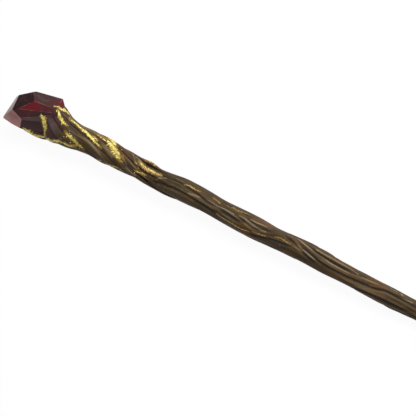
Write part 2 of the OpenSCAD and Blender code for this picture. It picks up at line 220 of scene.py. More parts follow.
def stonePlanes():
    # each facet as its outward normal along, to the front and up, and its distance from the seat:
    # the planes of those triangles that have no point of the stone outside them
    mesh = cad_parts["stone"].data
    mesh.calc_loop_triangles()
    index = np.empty(3 * len(mesh.loop_triangles), np.int32)
    mesh.loop_triangles.foreach_get("vertices", index)
    corners = meshPoints(mesh)[index.reshape(-1, 3)] - seat
    normals = np.cross(corners[:, 1] - corners[:, 0], corners[:, 2] - corners[:, 0])
    normals /= np.linalg.norm(normals, axis=1, keepdims=True)
    reach = np.einsum("ij,ij->i", corners[:, 0], normals)
    outer = ((stonePoints - seat) @ normals.T).max(0) < reach + stoneCut.planeSlack
    planes = np.column_stack([normals @ alongDir, normals @ frontDir, normals @ upDir, reach])[outer]
    firsts = np.unique(np.round(planes, stoneCut.planeDigits), axis=0, return_index=True)[1]
    facets = planes[firsts]
    return facets[facets[:, 0] < stoneCut.footFacing]


facetPlanes = stonePlanes()
print("stone has", len(facetPlanes), "facets")


def stoneReach(a, turn):  # distance from the axis to the nearest facet
    reach = np.full(np.broadcast(a, turn).shape, np.inf)
    for along, front, up, distance in facetPlanes:
        outward = front * sinDeg(turn) + up * cosDeg(turn)
        faces = outward > stoneCut.leastFacing
        met = (distance - along * a) / np.where(faces, outward, 1)
        reach = np.where(faces, np.minimum(reach, met), reach)
    return reach


def toneRow(tone, glow):  # a facet's linear colour, with its share of the glow as the alpha
    return (*fromScreen(*tone)[:3], glow)


# painted reflection and painted shade: each face takes the tone listed for the way it faces
def facetTonesAndLight(mesh):  # the tone of the listed facet that faces most nearly the same way, or another
    normals = np.empty(3 * len(mesh.polygons), np.float32)
    mesh.polygons.foreach_get("normal", normals)
    facing = normals.reshape(-1, 3) @ np.column_stack([alongDir, frontDir, upDir])
    likeness = facing @ np.array([direction for direction, *_ in stoneCut.tones]).T
    known = np.array([toneRow(tone, glow) for _, tone, glow in stoneCut.tones])
    others = np.array([toneRow(tone, glow) for tone, glow in stoneCut.otherTones])
    pick = np.floor(stoneCut.otherSteps * np.abs(facing).sum(1)).astype(int) % len(others)
    alike = likeness.max(1, keepdims=True) > stoneCut.likeness
    return np.where(alike, known[likeness.argmax(1)], others[pick])


def makeStone():
    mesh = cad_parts["stone"].data.copy()
    mesh.name = "cutStone"
    mesh.materials.clear()
    shell = bmesh.new()
    shell.from_mesh(mesh)
    bmesh.ops.remove_doubles(shell, verts=shell.verts, dist=stoneCut.weld)
    flat = radians(stoneCut.flatTurn)
    bmesh.ops.dissolve_limit(shell, angle_limit=flat, verts=shell.verts, edges=shell.edges)
    shell.to_mesh(mesh)
    shell.free()
    mesh.shade_smooth()
    # each face's tone holds painted reflection and painted shade for the way it faces
    layer = mesh.attributes.new("tone", "FLOAT_COLOR", "FACE")
    layer.data.foreach_set("color", facetTonesAndLight(mesh).ravel().astype(np.float32))
    piece = newObject("cutStone", mesh)
    soften = piece.modifiers.new("softEdges", "BEVEL")
    soften.width = stoneCut.edgeWidth
    soften.segments = stoneCut.edgeSteps
    soften.limit_method = "ANGLE"
    soften.angle_limit = radians(stoneCut.edgeTurn)
    soften.harden_normals = True
    # the softened edges take the pale resin with painted highlights
    soften.material = 1  # the edges' own finish
    return dressPiece(piece, "stone")


cutStone = makeStone()

# Shaft: the form of the solid, with its carved strokes and with fine fibre

shaft = Settings(
    # form, in millimetres and shares
    length=338, headDiameter=17, headLength=26, neckDiameter=9.4, neckLength=50,
    diameter=13.4, tipDiameter=8.4, tipRound=5, swellHeight=0.3, swellPitch=47,
    grainDepth=0.55, grainPitch=120, bendHeight=0.5, twistLength=88,
    flareCurve=2.2, taperCurve=1.8, tipFlat=0.3, headCrook=1.2, neckCrook=0.85,
    crookEnd=1.3, sway=0.62,
    # waves of the grain: ridges round the shaft, drift, height, phase, side sway
    grainWaves=[(3, 1, 0.4, 20, 50), (5, -1.5, 0.35, 110, 80), (7, 2, 0.25, 250, 110)],
    # wander of the middle line: pitch as a share of the length, heights across and up, phase
    bends=[(0.26, 0.8, 0.3, 70), (0.47, 0.1, 0.45, 30)],
    # carved strokes, with a lip beside each: its place in stroke widths and its height in stroke depths
    strokeWidth=0.8, strokeDepth=0.7, strokeFade=9, lipPlace=2, lipHeight=0.2,
    wildStrokes=44, wildPlaces=(0.19, 0.92), wildRuns=(0.08, 0.23), wildTurns=(96, 318),
    wildFront=0.66, wildSway=20, wildDriftStep=61, wildBowStep=97, wildCells=3,
    evenSpread=0.618,
    # fibre: its swing (turn, pitch, phase), its stray, and its broad and fine noise (turn, length, seed)
    swing=(26, 210, 40), strayTurn=9, stray=(60, 40, 5),
    fibreHeight=0.11, fineHeight=0.5, broad=(15, 26, 21), fine=(6, 11, 22),
    flowStretch=14,  # how far the paint's grain is drawn out along the wand
    # painted shade and painted highlights: depth of the cuts, fibre below a level, lips, crests of the fibre,
    # then painted shade along the under side
    cutCurve=1.6, fibreDark=0.25, fibreDarkFrom=0.2, lipClear=0.4,
    lipPale=0.6, fibrePale=0.3, glaze=0.5,
    # mesh: rows under the roots, along the bare shaft and over the tip, where the bare ones start, columns
    rows=(36, 590, 24), bareStart=54, around=144,
)

# Carved strokes along the front: places, as shares of the shaft's length, and turns that each passes through
frontStrokes = [
    [(0.13, 30), (0.17, 66), (0.2, 66), (0.22, 41), (0.25, 29), (0.3, 37), (0.35, 52)],
    [(0.17, 16), (0.2, 18), (0.22, -8), (0.255, -15), (0.315, 12), (0.345, 20)],
    [(0.205, 33), (0.22, 12), (0.25, 8)],
    [(0.25, -8), (0.29, -1), (0.32, 8)],
    [(0.365, 0), (0.395, 10), (0.415, 19), (0.445, 9)],
    [(0.33, 15), (0.355, 20), (0.375, 26), (0.4, 33)],
    [(0.38, -14), (0.425, 2), (0.46, -6)],
    [(0.395, 70), (0.43, 54), (0.455, 37), (0.5, 26)],
    [(0.455, -26), (0.49, -6), (0.52, 21)],
    [(0.48, -30), (0.515, -3), (0.54, 6)],
    [(0.505, -30), (0.545, -10), (0.615, -8)],
    [(0.485, 3), (0.52, 8), (0.545, 28), (0.575, 35), (0.62, 25), (0.665, -14)],
    [(0.49, 9), (0.515, 28), (0.55, 58)],
    [(0.605, 82), (0.645, 57), (0.68, 49), (0.74, 56)],
    [(0.61, 38), (0.655, 11), (0.68, -9), (0.74, 0), (0.795, 10)],
]


def wildStroke(i):  # one of the strokes spread over the rest of the shaft, drifting and bowing to the side
    share = mix(*shaft.wildPlaces, i / (shaft.wildStrokes - 1))
    spread = i * shaft.evenSpread % 1
    turn = mix(*shaft.wildTurns, spread) if share < shaft.wildFront else 360 * spread
    run = mix(*shaft.wildRuns, i * shaft.evenSpread ** 2 % 1)
    t = np.arange(shaft.wildCells + 1) / shaft.wildCells
    drift, bow = sinDeg(shaft.wildDriftStep * i), sinDeg(shaft.wildBowStep * i)
    return list(zip(share + run * t, turn + shaft.wildSway * (drift * t + bow * sinDeg(180 * t))))


strokeShares = frontStrokes + [wildStroke(i) for i in range(shaft.wildStrokes)]
allStrokes = [[(share * shaft.length, turn) for share, turn in stroke] for stroke in strokeShares]


def taperAt(a):
    return np.maximum(0, (a - shaft.twistLength) / (shaft.length - shaft.twistLength))


def tipRounding(a):
    t = np.clip((a - shaft.length + shaft.tipRound) / shaft.tipRound, 0, 1)
    return np.sqrt(1 - t * t * (1 - shaft.tipFlat ** 2))


def pastNeck(a):  # 0 up to the neck, 1 from the end of the twist
    return ease(shaft.neckLength, shaft.twistLength, a)


def carvedShare(a):  # 0 under the roots, 1 along the bare shaft, less over the tip
    return pastNeck(a) * tipRounding(a)


def plainReach(a):  # flared head to thin neck, then swelling into the long taper and its round tip
    flare = np.clip(1 - a / shaft.headLength, 0, None) ** shaft.flareCurve
    neck = mix(shaft.neckDiameter, shaft.headDiameter, flare) / 2
    swell = cosDeg(360 * (a - shaft.twistLength) / shaft.swellPitch) * (1 - taperAt(a))
    taper = mix(shaft.diameter, shaft.tipDiameter, taperAt(a) ** shaft.taperCurve) / 2
    body = taper + shaft.swellHeight * swell
    return mix(neck, body, pastNeck(a)) * tipRounding(a)


def shaftReach(a, turn):  # the plain form with three waves of grain that drift and sway
    sway = sinDeg(360 * a / (shaft.grainPitch * shaft.sway))
    grain = sum(height * sinDeg(ridges * turn + phase + 360 * drift * a / shaft.grainPitch + swing * sway)
                for ridges, drift, height, phase, swing in shaft.grainWaves)
    return plainReach(a) + shaft.grainDepth * carvedShare(a) * grain


def middleLine(a):  # how far the shaft's middle wanders across and up
    headLength, crookEnd = shaft.headLength, shaft.crookEnd * shaft.twistLength
    head, neck = np.clip(a / headLength, 0, 1), np.clip((a - headLength) / (crookEnd - headLength), 0, 1)
    crook = shaft.headCrook * sinDeg(180 * head) ** 2 + shaft.neckCrook * sinDeg(180 * neck) ** 2
    on = shaft.bendHeight * pastNeck(a)
    waves = [(sinDeg(360 * a / (pitch * shaft.length) + phase), across, up)
             for pitch, across, up, phase in shaft.bends]
    return on * sum(w * across for w, across, _ in waves) - crook, on * sum(w * up for w, _, up in waves)


def wandPoint(a, reach, turn):  # the point at that place along, reach from the middle line and turn
    across, up = middleLine(np.maximum(a, 0))
    forward, upward = reach * sinDeg(turn) - across, reach * cosDeg(turn) + up
    return (seat + a[..., None] * alongDir + forward[..., None] * frontDir + upward[..., None] * upDir) * mm


def strokeDepth(a, turn):
    # each stroke is a bell-shaped cut along its curve, fading at both ends, with a low lip beside it
    cut, lip = np.zeros(a.shape), np.zeros(a.shape)
    girth = np.radians(plainReach(a))
    for stroke in allStrokes:
        start, end = stroke[0][0], stroke[-1][0]
        fade = ease(start, start + shaft.strokeFade, a) * ease(end, end - shaft.strokeFade, a)
        away = turnBetween(turn, curveThrough(stroke, a)) * girth / shaft.strokeWidth
        cut = np.maximum(cut, fade * bell(away))
        lip = np.maximum(lip, fade * bell(np.abs(away) - shaft.lipPlace))
    return cut, lip


def flowTurn(a, turn):  # a turn that follows the wandering fibre: a slow swing and a small stray
    swing, pitch, phase = shaft.swing
    stray = shaft.strayTurn * weaveRound(turn, a, *shaft.stray)
    return turn + swing * sinDeg(360 * a / pitch + phase) + stray


def flowVector(a, turn, reach):  # the fibre's own coordinates, without a seam
    flow = flowTurn(a, turn)
    return np.stack([reach * sinDeg(flow), reach * cosDeg(flow), a / shaft.flowStretch], -1)


def shaftSkin(a, turn):
    # the solid's form, less the strokes, plus their lips and two sizes of fibre; then its painted shade and
    # its painted highlights
    cut, lip = strokeDepth(a, turn)
    flow = flowTurn(a, turn)
    broad, fine = weaveRound(flow, a, *shaft.broad), weaveRound(flow, a, *shaft.fine)
    shown, depth = carvedShare(a), shaft.strokeDepth
    fibre = shaft.fibreHeight * (broad + shaft.fineHeight * fine)
    reach = shaftReach(a, turn) + shown * (fibre - depth * cut + shaft.lipHeight * depth * lip)
    # painted shade in the cuts and low fibre, painted highlights on lips and raised fibre
    between = shaft.fibreDark * np.clip(-broad - shaft.fibreDarkFrom, 0, 1)
    paintedShade = np.clip(shown * (cut ** shaft.cutCurve + between - shaft.lipClear * lip), 0, 1)
    return reach, paintedShade, shown * (shaft.lipPale * lip + shaft.fibrePale * np.clip(broad, 0, 1))


def makeShaft():
    under, bare, tip = shaft.rows
    bareStart, roundStart = shaft.bareStart, shaft.length - shaft.tipRound
    places = np.concatenate([
        np.linspace(0, bareStart, under, endpoint=False),
        np.linspace(bareStart, roundStart, bare, endpoint=False),
        roundStart + shaft.tipRound * sinDeg(np.linspace(0, 90, tip))])
    a, turn = np.meshgrid(places, np.arange(shaft.around) * 360 / shaft.around, indexing="ij")
    reach, paintedShade, ridge = shaftSkin(a, turn)
    # painted shade in the cuts and low fibre, plus painted shade along the under side; painted highlights on
    # lips, fibre and crests
    looks = {"paintedShade": paintedShade.ravel() + shaft.glaze * nearStreaks(a, turn, undersideShades),
             "ridge": ridge.ravel() + nearStreaks(a, turn, highlightCrests),
             "stain": np.zeros(a.size), "smoke": np.zeros(a.size), "gilt": nearStreaks(a, turn, shaftGold),
             "flow": flowVector(a, turn, reach).reshape(-1, 3)}
    return addPiece("carvedShaft", [wandPoint(a, reach, turn)], looks, "shaft")


# Roots: seven bands that grip the stone, twist together and run out on the shaft

roots = Settings(
    # form, in millimetres, degrees and shares
    stoneLength=34, twist=225, thickness=2.9, thinning=32, valley=1.4, clawThickness=1.4,
    shoulderLength=7,
    edgeTurns=(8, 61, 114, 167, 220, 261, 304),
    windings=(1, 1.5, 1, 1, 1, 0.15, 0.15),
    grips=(0.18, 0.2, 0.48, 0.07, 0.2, 0.003, 0.14),
    slants=(0.06, -0.1, 0, 0, 0.02, 0, -0.06),
    arches=(0.02, 0.02, 0.04, 0.03, 0.13, 0, 0.02),
    gripWidths=(1, 1, 0.45, 0.8, 1, 1, 0.9),
    claws=(1, 1, 1, 0.7, 0.8, 0, 0.8),
    runs=(0.86, 0.88, 0.95, 0.93, 0.84, 1, 0.9),
    knots=[(2, 0.735, 0.06, 0.4), (0, 0.42, 0.07, 0.22)],  # root, place and half length, height, as shares
    brink=0.45, endWidth=0.3, endThickness=0.22, slowing=0.35, roundness=0.6,
    valleyLimit=0.65,
    # how far they spread over each other and sink into what they lie on, and their least height
    overlap=0.35, sink=0.35, seatBlend=3, leastHeight=0.28,
    lips=(7, 1.1, 1.1, 1.1, 2, 1.1, 3), tail=9,  # length of the round start and of the thinning end
    # bark: broad and fine noise (width, length, seed), how it sways along the root, and where it starts
    barkHeight=0.34, fineHeight=0.35, broad=(2.1, 30, 31), fine=(0.8, 14, 32), noiseStep=20,
    barkSway=1.1, swayPitch=46, swayStep=70, barkStart=(-2, 14),
    # painted shade in the creases between roots and in the bark, painted highlights on crests that sway along
    # the root
    crease=0.62, creaseFrom=0.66, creaseStart=(-4, 6), barkDark=0.5, barkDarkFrom=0.15,
    crestPlace=-0.2, crestSway=0.35, crestWidth=0.22, crestPale=0.7, barkPale=0.8,
    # maroon stain towards the stone with its ragged edge, and a painted grey sheen patch on one root, along
    # and across
    stain=(9, -3), stainStray=3, stainEdge=(14, 3, 41),
    smokeRoot=0, smokePlace=(0.5, 0.1), smokeSize=(5, 0.45),
    flowStep=9.0,  # keeps the paint's grain on one root apart from the next
    # mesh: rows over the stone and along the shaft, columns over the top and under it
    rows=(46, 250), topCells=46, bedCells=8,
)
rootCount = len(roots.edgeTurns)
shoulderEnd = shaft.headLength / 2


def rootStart(k, v):
    return -roots.stoneLength * (roots.grips[k] + v * roots.slants[k] - v * v * roots.arches[k])


def rootEnd(k):
    return shaft.twistLength * roots.runs[k]


def rootWidth(k, a):
    return (mix(roots.gripWidths[k], 1, ease(rootStart(k, 0), 0, a))
            * mix(1, roots.endWidth, ease(shaft.neckLength, rootEnd(k), a)))


def twisted(a):  # even winding that slows past the neck
    late = np.maximum(0, a - shaft.neckLength)
    slowed = roots.slowing * late**2 / (shaft.twistLength - shaft.neckLength)
    return (a - slowed) * roots.twist / shaft.twistLength


def edgeTurn(k, a):  # a root's first edge, which winds at its own rate near the stone
    rate = roots.twist / shaft.twistLength
    near = twisted(shoulderEnd) + (a - shoulderEnd) * roots.windings[k] * rate
    return roots.edgeTurns[k] + np.where(a < shoulderEnd, near, twisted(a))


def rootSpan(k, a):  # the turn of a root's middle and half the turn that it covers
    last = k + 1 == rootCount
    low, high = edgeTurn(k, a), edgeTurn((k + 1) % rootCount, a) + 360 * last
    spread = np.degrees(roots.overlap / 2 / plainReach(np.maximum(0, a)))
    return (low + high) / 2, (high - low) / 2 * rootWidth(k, a) + spread


def rootBed(a, turn):  # what a root lies on: the stone, then the shaft
    seatReach = np.maximum(stoneReach(0, turn), shaftReach(0 * a, turn))
    onShaft = mix(seatReach, shaftReach(np.maximum(a, 0), turn), ease(0, roots.seatBlend, a))
    return np.where(a < 0, stoneReach(np.minimum(a, 0), turn), onShaft)


def rootKnot(k, a):  # height of the knots on a root, each a bell along it
    share = a / shaft.twistLength
    return roots.thickness * sum(height * bell((share - place) / half)
                                    for root, place, half, height in roots.knots if root == k)


def rootRidge(k, a, turn):  # height of a root's crown, from the claw over the shoulder to the twist
    start = rootStart(k, 0)
    brink = mix(roots.brink, 1, ease(start, start / 2, a))
    claw = stoneReach(np.minimum(a, 0), turn) + roots.clawThickness * roots.claws[k] * brink
    full = np.maximum(claw, plainReach(0 * a) + roots.thickness)
    fade = mix(1, roots.endThickness, ease(roots.thinning, rootEnd(k), a))
    twist = shaftReach(np.maximum(a, 0), turn) + roots.thickness * fade + rootKnot(k, a)
    onShaft = mix(full, twist, ease(0, roots.shoulderLength, a))
    return np.where(a < 0, mix(claw, full, ease(start, 0, a)), onShaft)


def rootSkin(k, a, turn, v):
    # crown with rounded sides, a round lip where it starts, thinning where it ends, and bark along it;
    # then its painted shade and its painted highlights
    bed = rootBed(a, turn)
    ridge = np.maximum(rootRidge(k, a, turn), bed + roots.leastHeight)
    valley = np.minimum(roots.valley, roots.valleyLimit * (ridge - bed))
    crown = ridge - valley * (1 - np.clip(1 - v * v, 0, None) ** roots.roundness)
    into = np.clip((a - rootStart(k, v)) / roots.lips[k], 0, 1)
    left = np.clip((rootEnd(k) - a) / roots.tail, 0, 1)
    height = (crown - bed) * np.sqrt(1 - (1 - into) ** 2) * np.sqrt(1 - (1 - left) ** 2)
    wave = sinDeg(360 * a / roots.swayPitch + roots.swayStep * k)
    across = v * toAround(rootSpan(k, a)[1]) + roots.barkSway * wave
    broad, fine = (weave(across, a, *roots[size], roots.noiseStep * k) for size in ("broad", "fine"))
    rough = ease(*roots.barkStart, a) * left
    bark = roots.barkHeight * rough * (broad + roots.fineHeight * fine)
    # painted shade in the creases at the root's sides and in low bark; painted highlights on a swaying crest
    # and raised bark
    crease = roots.crease * ease(roots.creaseFrom, 1, np.abs(v)) * ease(*roots.creaseStart, a)
    paintedShade = crease + roots.barkDark * rough * np.clip(-broad - roots.barkDarkFrom, 0, 1)
    crest = bell((v - roots.crestPlace - roots.crestSway * wave) / roots.crestWidth)
    pale = rough * (roots.barkPale * np.clip(broad, 0, 1) + roots.crestPale * crest)
    return bed + height + bark, np.clip(paintedShade, 0, 1), pale


def outerReach(a, turn):  # the outermost skin of stone, shaft and roots there
    reach = np.where(a < 0, stoneReach(np.minimum(a, 0), turn), shaftSkin(np.maximum(a, 0), turn)[0])
    for k in range(rootCount):
        middle, half = rootSpan(k, a)
        v = turnBetween(turn, middle) / half
        within = (np.abs(v) <= 1) & (a > rootStart(k, v)) & (a < rootEnd(k))
        reach = np.where(within, np.maximum(reach, rootSkin(k, a, turn, np.clip(v, -1, 1))[0]), reach)
    return reach


def makeRoot(k):
    grip, run = roots.rows
    v = np.concatenate([np.linspace(-1, 1, roots.topCells), np.linspace(1, -1, roots.bedCells)])
    onTop = np.arange(len(v)) < roots.topCells
    toSeat = np.linspace(1, 0, grip, endpoint=False)[:, None] * rootStart(k, v)
    a = np.concatenate([toSeat, np.linspace(0, rootEnd(k), run)[:, None] + 0 * v])
    middle, half = rootSpan(k, a)
    turn, across = middle + v * half, np.broadcast_to(v, a.shape)
    reach, paintedShade, ridge = rootSkin(k, a, turn, across)
    reach = np.where(onTop, reach, np.minimum(rootBed(a, turn), reach) - roots.sink)
    apart = np.full(a.shape, roots.flowStep * k)
    flow = np.stack([across * toAround(half), apart, a / shaft.flowStretch], -1)
    stain = ease(*roots.stain, a + roots.stainStray * weave(turn, a, *roots.stainEdge))
    # painted grey sheen patch on one root
    (placeA, placeV), (sizeA, sizeV) = roots.smokePlace, roots.smokeSize
    smoke = bell(np.hypot((a - placeA) / sizeA, (across - placeV) / sizeV)) * (k == roots.smokeRoot)
    looks = {"paintedShade": paintedShade.ravel(), "ridge": ridge.ravel() + nearStreaks(a, turn, highlightCrests),
             "stain": stain.ravel(), "smoke": smoke.ravel(),
             "gilt": nearStreaks(a, turn, clawGold + rootGold), "flow": flow.reshape(-1, 3)}
    return addPiece(f"root{k + 1}", [wandPoint(a, reach, turn)], looks, f"root_{k + 1}")


# Painted highlights along crests: the width of each in millimetres, then the places and turns that it passes
# through
highlightCrests = [
    (0.5, [(-0.8, -24), (1.5, -30), (4.4, -32), (8.3, -47)]),
    (1.2, [(12.9, 20), (16.1, 29), (18.1, 38)]),
    (1.7, [(14.2, -72), (19.1, -55), (22.6, -45), (25.9, -40)]),
    (1.8, [(32.8, 9), (35.9, 13), (38.7, 22), (41.6, 31)]),
    (0.7, [(47.5, 13), (49.9, 20), (51.6, 28)]),
    (0.7, [(51, -55), (54.8, -17), (58.1, 0), (61.4, 10)]),
    (0.9, [(54.8, -43), (56.9, -37), (58.9, -25)]),
    (0.7, [(52.3, 46), (55.8, 54), (59.6, 61)]),
    (0.7, [(72.4, 25), (75.4, 5), (79.3, -16), (82.1, -18)]),
    (0.6, [(94.6, 19), (102.2, 9), (109.2, 6), (113.8, 8), (119, 2), (124.8, 4)]),
    (0.8, [(128.3, -2), (132.2, 0), (137.3, 10), (143, 14), (147.2, 10)]),
    (0.7, [(135.5, -11), (140.3, -12), (146.3, -22)]),
    (0.6, [(160.9, -15), (167.2, -7), (174.2, 13), (178.9, 24), (186.4, 33), (193.7, 35), (200.7, 33),
           (207.2, 30)]),
    (0.7, [(162.7, -56), (169.5, -28), (174.9, -16), (180.7, -9), (187.1, -1), (191.7, 6), (198.1, 5),
           (204, 1), (209.6, -6), (215.7, -16), (222.4, -24)]),
    (0.6, [(179.7, -26), (188.2, -22), (196.6, -21), (203.7, -23), (209.2, -18)]),
    (0.5, [(165.6, 18), (170.3, 19), (174.7, 31)]),
    (0.7, [(221.1, 9), (227.6, -3), (234.4, -9), (241.2, -13), (245.6, -16)]),
]

# Painted shade along the under side, in the same form
undersideShades = [
    (1.8, [(100.4, 39), (105.4, 44), (110.2, 42), (115, 34)]),
    (2.2, [(114, 80), (119, 78), (125, 74), (131, 80), (137, 92), (143, 76), (149, 56), (156.5, 46)]),
    (1.5, [(117.2, 26), (122.3, 21), (128, 19), (132.4, 18)]),
    (2.4, [(160, 43), (167, 49), (174, 52), (181, 51)]),
    (2.0, [(200.5, 62), (207.4, 61), (213, 70), (219, 74), (230.5, 58), (241.7, 52)]),
]

# Gold leaf: ragged thin patches that follow the skin below them, with loose flecks beside them

leaf = Settings(
    height=0.16, sink=0.12,  # how far it stands off the skin and reaches into it
    alongStep=0.16, acrossCells=14, sharpTurn=70,
    blunt=0.02, taperCurve=0.45, leastHalf=0.05,  # how a patch narrows to its ends
    # torn sides: depth, length of the long and the short tears, and the row of the noise for each side
    ragged=0.7, longTear=0.9, shortTear=0.35, shortShare=0.6, sideRows=(0.5, 7.5),
    crumple=(0.5, 0.5), crumpleBase=0.65, crumpleShare=0.5,
    # breaks: length and width of the large and the small ones, and how they fade in
    largeBreak=(1.6, 0.7), smallBreak=(0.6, 0.4), smallShare=0.5,
    breakFrom=1.15, breakTo=0.95,
    edgeCurve=4, edgeHeight=1.02, hidden=0.5,  # rounded sides, and how deep a break is hidden
    rimCurve=3, rimEnds=(0.6, 0.25),  # thin paint at the sides and at the ends
    aged=(30, 64), dulled=(78, 105),  # where along the wand it turns ochre, then dull
    # flecks beside each patch: how many, their size, how far they are thrown, and their mesh
    flecks=9, fleckSize=(0.25, 0.6), fleckSpacing=0.5, thrownAlong=0.35, thrownAcross=0.55,
    fleckShape=[(0, 0), (0.8, 0.3), (1.6, 0.5)], fleckStep=0.3, fleckCells=5,
    seedStep=10, fleckSeed=500, fleckSeedStep=20,
)

# each streak: width in millimetres, how broken it is, then the places and turns that it passes through
clawGold = [
    (3.1, 0.1, [(-9.6, 14), (-7.4, 17), (-5.7, 31), (-4.1, 53), (-3.1, 83), (-2.8, 98)]),
    (1.9, 0.1, [(-17, 82), (-13.5, 93), (-10.7, 105), (-7.8, 110), (-5, 111), (-2.6, 103)]),
    (2.8, 0.2, [(-4, 97), (0, 87), (3.5, 82), (6.6, 78), (9.6, 76), (13.4, 71), (17.6, 66)]),
    (1.3, 0.2, [(-4.3, -25), (-2.2, -30.5), (0.2, -40), (3.2, -46), (4.9, -51), (6.6, -50)]),
    (1.8, 0.1, [(-1.2, -23.5), (0.4, -15.4), (2.7, -7.4), (4.8, -4.5), (7.3, -4)]),
]
rootGold = [
    (2.5, 0.1, [(8.8, 22), (11.4, 28), (14.2, 35), (17.2, 44), (20.6, 58), (23.1, 68)]),
    (2.2, 0.1, [(7.2, -36), (11, -42), (15.2, -34), (19.5, -24), (23.1, -11), (26.9, 3), (30.3, 12),
                (32.6, 20)]),
    (0.9, 0.4, [(26.4, -40), (30.1, -31), (33.7, -24.5)]),
    (4.6, 0.1, [(31.4, -48), (33.5, -43), (36.4, -29), (39.5, -13), (42.6, 2), (45.4, 14), (47.4, 20)]),
    (3.3, 0.2, [(58.4, -20), (61.3, -5), (64.3, 1), (67.7, -1), (71.1, -5), (74.9, -13)]),
    (1.5, 0.3, [(57.6, 40), (60.4, 37), (62.9, 33), (65.4, 31)]),
    (3.4, 0.25, [(61.2, -57), (64.3, -57), (67.3, -56), (71, -57)]),
    (1.8, 0.4, [(33.3, 98), (37.3, 92), (41.3, 87), (45.2, 79), (48, 80), (50.5, 92)]),
    (0.7, 0.4, [(55.4, -5), (57.5, 4), (59.6, 15)]),
    (1.8, 0.3, [(14, 150), (22, 172), (30, 196)]),
    (1.6, 0.3, [(30, 228), (38, 252), (46, 274)]),
    (3.4, 0.1, [(32.7, -72), (34.8, -66), (37.2, -53), (40.2, -33)]),
    (0.9, 0.3, [(24.4, -17), (26.6, -12), (28.5, -6)]),
    (2.6, 0.05, [(9.4, 24), (11.4, 28.5), (13.6, 34), (15.6, 39.5)]),
]
shaftGold = [
    (1.0, 0.4, [(89.4, -15), (92.8, -18), (95.9, -14), (100, -20)]),
    (1.4, 0.6, [(109.3, -26), (111.8, -22), (113.9, -15)]),
    (0.9, 0.7, [(118.5, -25), (122.4, -36), (125.4, -34), (129.4, -40), (133, -46)]),
    (0.9, 0.2, [(115.2, 49), (120, 51.5), (124.6, 53), (129.2, 56), (133.7, 56), (137.7, 49)]),
    (0.9, 0.6, [(140, 40), (143.7, 38), (148.1, 30)]),
    (1.0, 0.5, [(153.8, 14), (156.4, 5), (159.3, 8), (164.2, 11.4)]),
    (1.2, 0.5, [(223.9, -58), (229, -61), (235, -58), (241.2, -46)]),
    (1.0, 0.5, [(102, 150), (112, 160), (122, 175)]),
    (0.9, 0.6, [(176, 216), (186, 208), (197, 212)]),
]
streak = Settings(leastSteps=6, reach=2, fade=0.75)  # points on a line, then its halo in streak widths


def streakLine(points, step):
    # even places along the streak, unrolled to millimetres along and round
    a, turn = np.array(points, float).T
    around = toAround(turn)
    length = np.concatenate([[0], np.hypot(np.diff(a), np.diff(around)).cumsum()])
    s = np.linspace(0, length[-1], max(streak.leastSteps, int(length[-1] / step)))
    along = curveThrough(np.column_stack([length, a]), s)
    return s, along, curveThrough(np.column_stack([length, around]), s)


def nearStreaks(a, turn, streaks):  # 1 on the streaks and fading outwards
    near = np.zeros(a.shape)
    for width, *_, points in streaks:
        for x, y in zip(*streakLine(points, width / 2)[1:]):
            close = np.abs(a - x) < streak.reach * width
            away = np.hypot(a[close] - x, toAround(turnBetween(turn[close], toTurn(y))))
            near[close] = np.maximum(near[close], bell(away / (streak.fade * width)))
    return near.ravel()


def leafPatch(width, broken, points, seed, step, cells):
    # a strip with torn sides: half width times a taper and a ragged draw, lifted off the skin below it,
    # and sunk under that skin where it is broken; then how thin and how aged its paint is
    longSeed, shortSeed, crumpleSeed, largeSeed, smallSeed = range(seed, seed + 5)
    s, along, lineAround = streakLine(points, step)
    q = np.linspace(-1, 1, cells)
    slopeAlong, slopeAround = np.gradient(along, s), np.gradient(lineAround, s)
    norm = np.hypot(slopeAlong, slopeAround)
    taper = np.sin(np.pi * np.linspace(leaf.blunt, 1 - leaf.blunt, len(s))) ** leaf.taperCurve
    torn = []
    for side in leaf.sideRows:
        short = leaf.shortShare * ripple(s / leaf.shortTear, 0 * s + side, shortSeed)
        torn.append(1 + leaf.ragged * (ripple(s / leaf.longTear, 0 * s + side, longSeed) + short))
    half = width / 2 * taper[:, None] * np.where(q < 0, torn[0][:, None], torn[1][:, None])
    away = q * np.clip(half, leaf.leastHalf, None)
    a = along[:, None] - (slopeAround / norm)[:, None] * away
    around = lineAround[:, None] + (slopeAlong / norm)[:, None] * away
    turn = toTurn(around)
    skin = outerReach(a, turn)
    crumple = leaf.crumpleBase + leaf.crumpleShare * weave(a, around, *leaf.crumple, crumpleSeed)
    small = leaf.smallShare * weave(a, around, *leaf.smallBreak, smallSeed)
    gaps = weave(a, around, *leaf.largeBreak, largeSeed) + small
    there = ease(2 * broken - leaf.breakFrom, 2 * broken - leaf.breakTo, gaps)
    rounded = np.sqrt(np.clip(leaf.edgeHeight - q ** leaf.edgeCurve, 0, 1))
    lift = leaf.height * crumple * rounded * taper[:, None]
    top = skin + mix(-leaf.hidden * leaf.sink, lift, there)
    ends = ease(*leaf.rimEnds, taper)[:, None]
    rim = np.clip(np.abs(q) ** leaf.rimCurve + ends + 1 - there, 0, 1)
    aged = ease(*leaf.aged, a) + ease(*leaf.dulled, a)
    over, under = wandPoint(a, top, turn), wandPoint(a, skin - leaf.sink, turn)
    sides = (over, under), (rim, rim), (aged, aged)
    return [np.concatenate([upper, lower[:, ::-1]], axis=1) for upper, lower in sides]


def fleckPatches(width, points, seed):
    # loose flecks: short strips thrown about the streak by a seeded draw
    draw = np.random.default_rng(seed)
    s, along, around = streakLine(points, leaf.fleckSpacing)
    flecks = []
    for n in range(leaf.flecks):
        i = draw.integers(0, len(s))
        size = draw.uniform(*leaf.fleckSize)
        x = along[i] + draw.normal(0, leaf.thrownAlong * width)
        y = around[i] + draw.normal(0, leaf.thrownAcross * width)
        spot = [(x + dx * size, toTurn(y + dy * size)) for dx, dy in leaf.fleckShape]
        flecks.append(leafPatch(size, 0, spot, seed + n, leaf.fleckStep, leaf.fleckCells))
    return flecks


